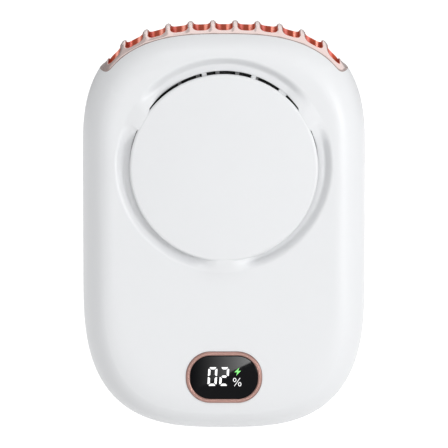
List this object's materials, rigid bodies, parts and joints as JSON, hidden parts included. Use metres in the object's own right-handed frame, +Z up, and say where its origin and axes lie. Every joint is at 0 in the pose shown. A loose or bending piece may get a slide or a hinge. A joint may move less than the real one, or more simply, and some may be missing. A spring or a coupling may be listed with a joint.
{
  "type": "waist fan",
  "caption": "Flat rounded belt-worn blower: air goes in round a front disc and through rear slots and out of a ribbed top grille; charge display below, sprung belt clip behind.",
  "frame": {"origin": "on the flat back of the casing, on its centre line, at the middle of the belt that the clip holds", "axes": "+Z up towards the outlet grille, -Y out of the front face, +X to the right seen from the front"},
  "size_m": [0.078, 0.0395, 0.1131],
  "materials": {
    "shell_white": "satin white moulded ABS with a fine spark texture",
    "rose_gold": "rose-gold metallised plating",
    "window_black": "gloss black acrylic",
    "inner_black": "plain black moulding",
    "steel": "zinc-plated or bright steel",
    "copper": "enamelled copper windings",
    "ferrite": "bonded ferrite",
    "board_green": "solder mask",
    "cell_wrap": "foil pouch with no print"
  },
  "bodies": {
    "casing": {"front_cover": "shell_white", "rear_cover": "shell_white", "intake_disc": "shell_white", "outlet_grille": "rose_gold", "display_bezel": "rose_gold", "display_window": "window_black", "display_module": "inner_black", "scroll_housing": "inner_black", "scroll_cover": "inner_black", "bearing_tube": "inner_black", "tact_switch": "inner_black", "usb_tongue": "inner_black", "stator_core": "steel", "bearing_front": "steel", "bearing_rear": "steel", "usb_shell": "steel", "clip_pin": "steel", "clip_spring": "steel", "case_screw_1": "steel", "case_screw_2": "steel", "case_screw_3": "steel", "case_screw_4": "steel", "housing_screw_1": "steel", "housing_screw_2": "steel", "housing_screw_3": "steel", "board_screw_1": "steel", "board_screw_2": "steel", "stator_coil_1": "copper", "stator_coil_2": "copper", "stator_coil_3": "copper", "stator_coil_4": "copper", "motor_board": "board_green", "main_board": "board_green", "battery_cell": "cell_wrap"},
    "rotor": {"impeller": "inner_black", "rotor_cup": "steel", "rotor_magnet": "ferrite", "motor_shaft": "steel", "shaft_clip": "steel"},
    "button": {"power_button": "shell_white", "switch_plunger": "inner_black"},
    "clip": {"belt_clip": "shell_white"}
  },
  "joints": [
    {"name": "impeller_spin", "type": "hinge", "parent": "casing", "child": "rotor", "pos_m": [0, -0.0155, 0.0464], "axis": [0, -1, 0], "continuous": true},
    {"name": "button_press", "type": "slide", "parent": "casing", "child": "button", "axis": [-1, 0, 0], "range_m": [0, 0.0005], "stiffness_N_per_m": 1500},
    {"name": "clip_open", "type": "hinge", "parent": "casing", "child": "clip", "pos_m": [0, 0.003, 0.0204], "axis": [1, 0, 0], "range_deg": [0, 20], "stiffness_Nm_per_rad": 0.3, "springref_deg": -28.65, "deforming": ["clip_spring"]}
  ]
}
